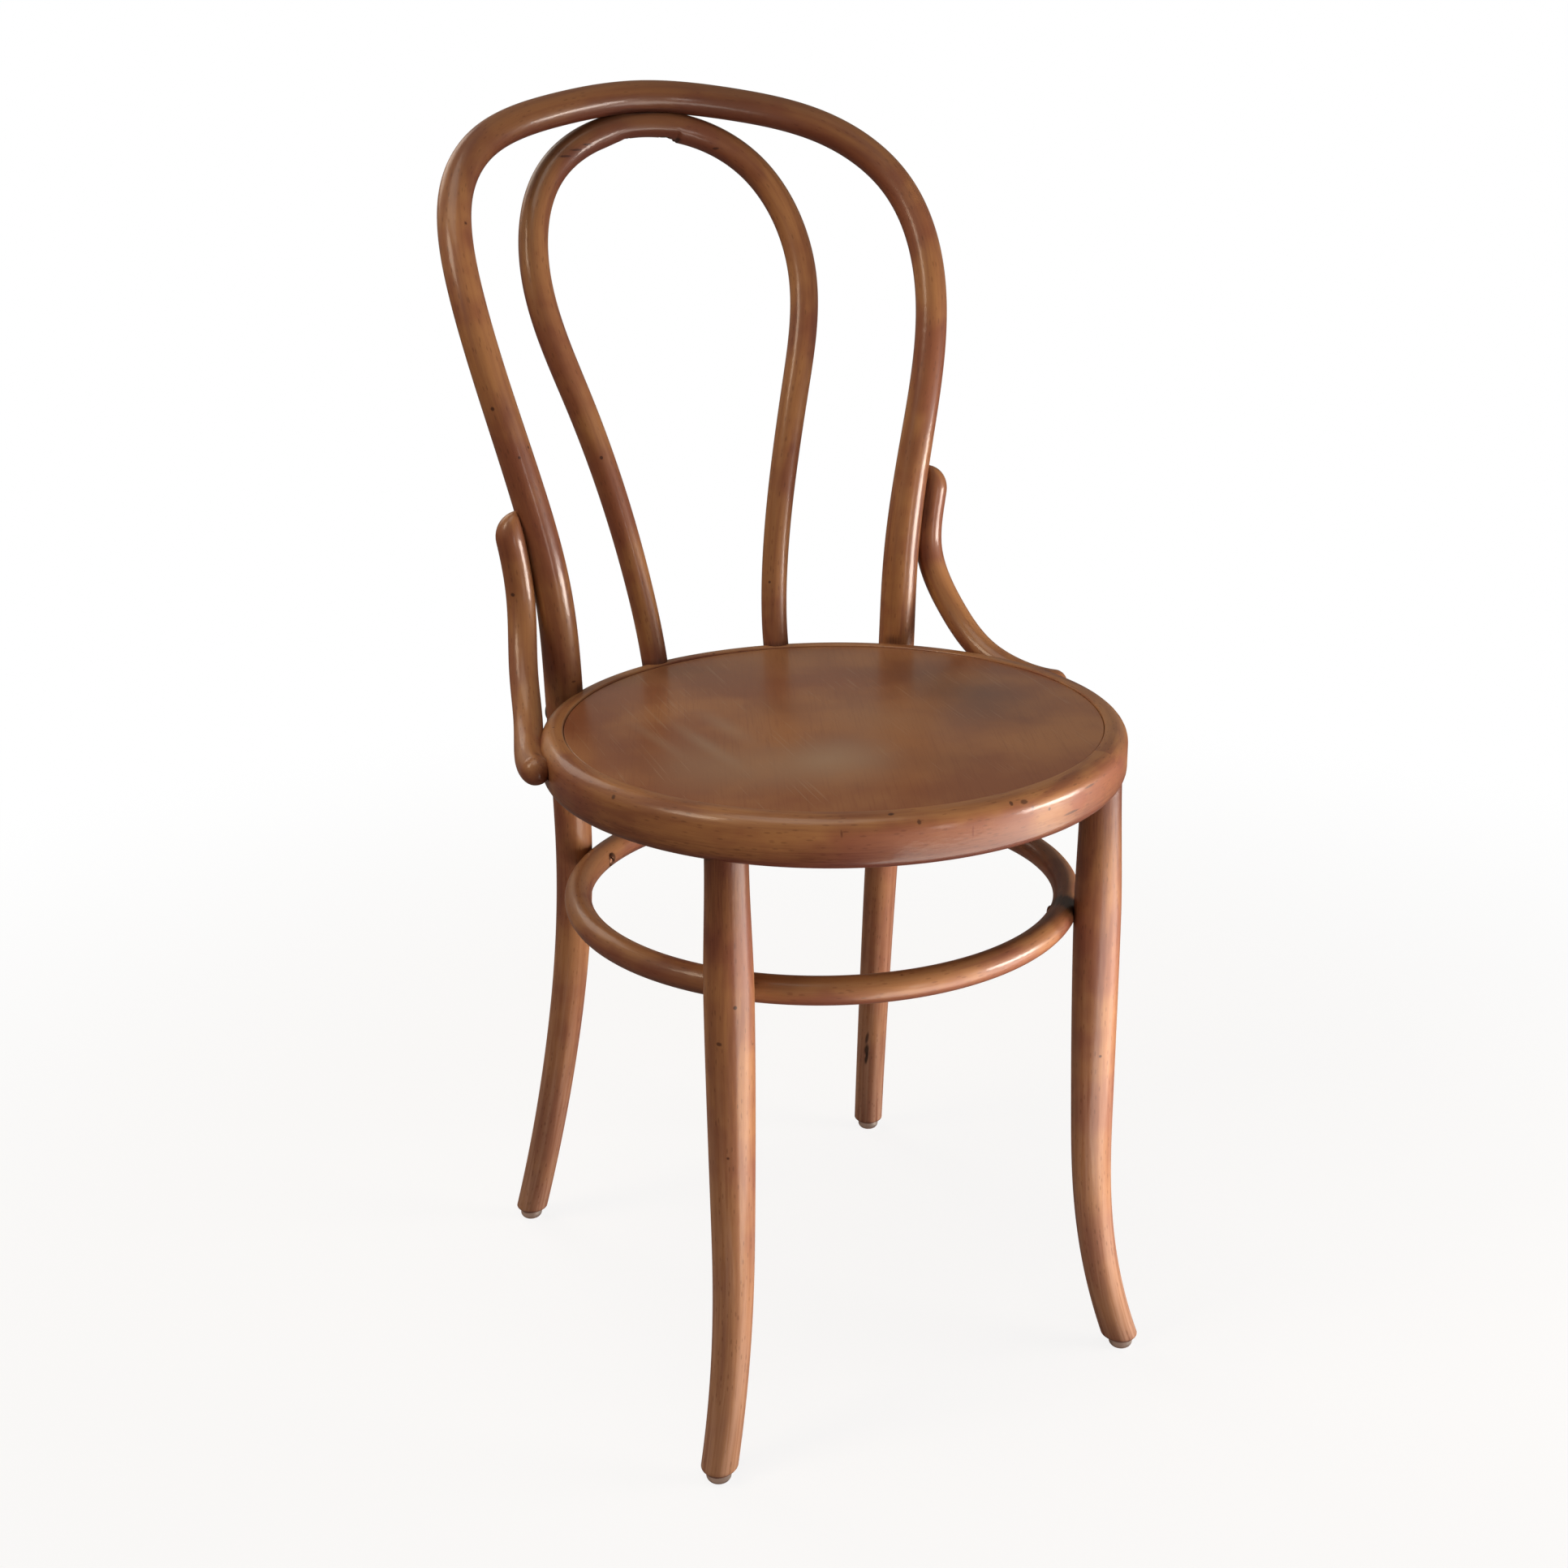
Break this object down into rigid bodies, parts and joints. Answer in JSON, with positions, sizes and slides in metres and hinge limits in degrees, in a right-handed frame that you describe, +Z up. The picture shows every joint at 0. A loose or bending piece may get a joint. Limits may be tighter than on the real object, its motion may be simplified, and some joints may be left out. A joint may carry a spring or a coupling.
{
  "type": "bentwood bistro chair",
  "caption": "Bentwood side chair with a round plywood seat, steam-bent hoop back with an inner loop, curved side brackets and a round leg ring.",
  "frame": {"origin": "on the floor, below the middle of the chair's box; the seat's centre is 52.8 mm in front of it", "axes": "+Z up, -Y towards the front of the chair, +X towards the sitter's left hand"},
  "size_m": [0.4244, 0.5016, 0.8751],
  "materials": {
    "beech_frame": "stained beech under worn glossy varnish",
    "seat_plywood": "stained plywood, worn satin varnish",
    "beech_dowel": "raw beech dowel",
    "steel_fixings": "dull aged steel",
    "nickel_glides": "worn nickel plate"
  },
  "bodies": {
    "root": {"back_hoop": "beech_frame", "inner_loop": "beech_frame", "seat_ring": "beech_frame", "seat_panel": "seat_plywood", "front_leg_left": "beech_frame", "front_leg_right": "beech_frame", "leg_ring": "beech_frame", "side_bracket_left": "beech_frame", "side_bracket_right": "beech_frame", "rear_leg_bolts": "steel_fixings", "rear_leg_washers": "steel_fixings", "rear_leg_nuts": "steel_fixings", "leg_ring_screws": "steel_fixings", "inner_loop_screws": "steel_fixings", "bracket_screws": "steel_fixings", "front_leg_screws": "steel_fixings", "bracket_dowels": "beech_dowel", "foot_glide_front_left": "nickel_glides", "foot_glide_front_right": "nickel_glides", "foot_glide_rear_left": "nickel_glides", "foot_glide_rear_right": "nickel_glides"}
  },
  "joints": []
}
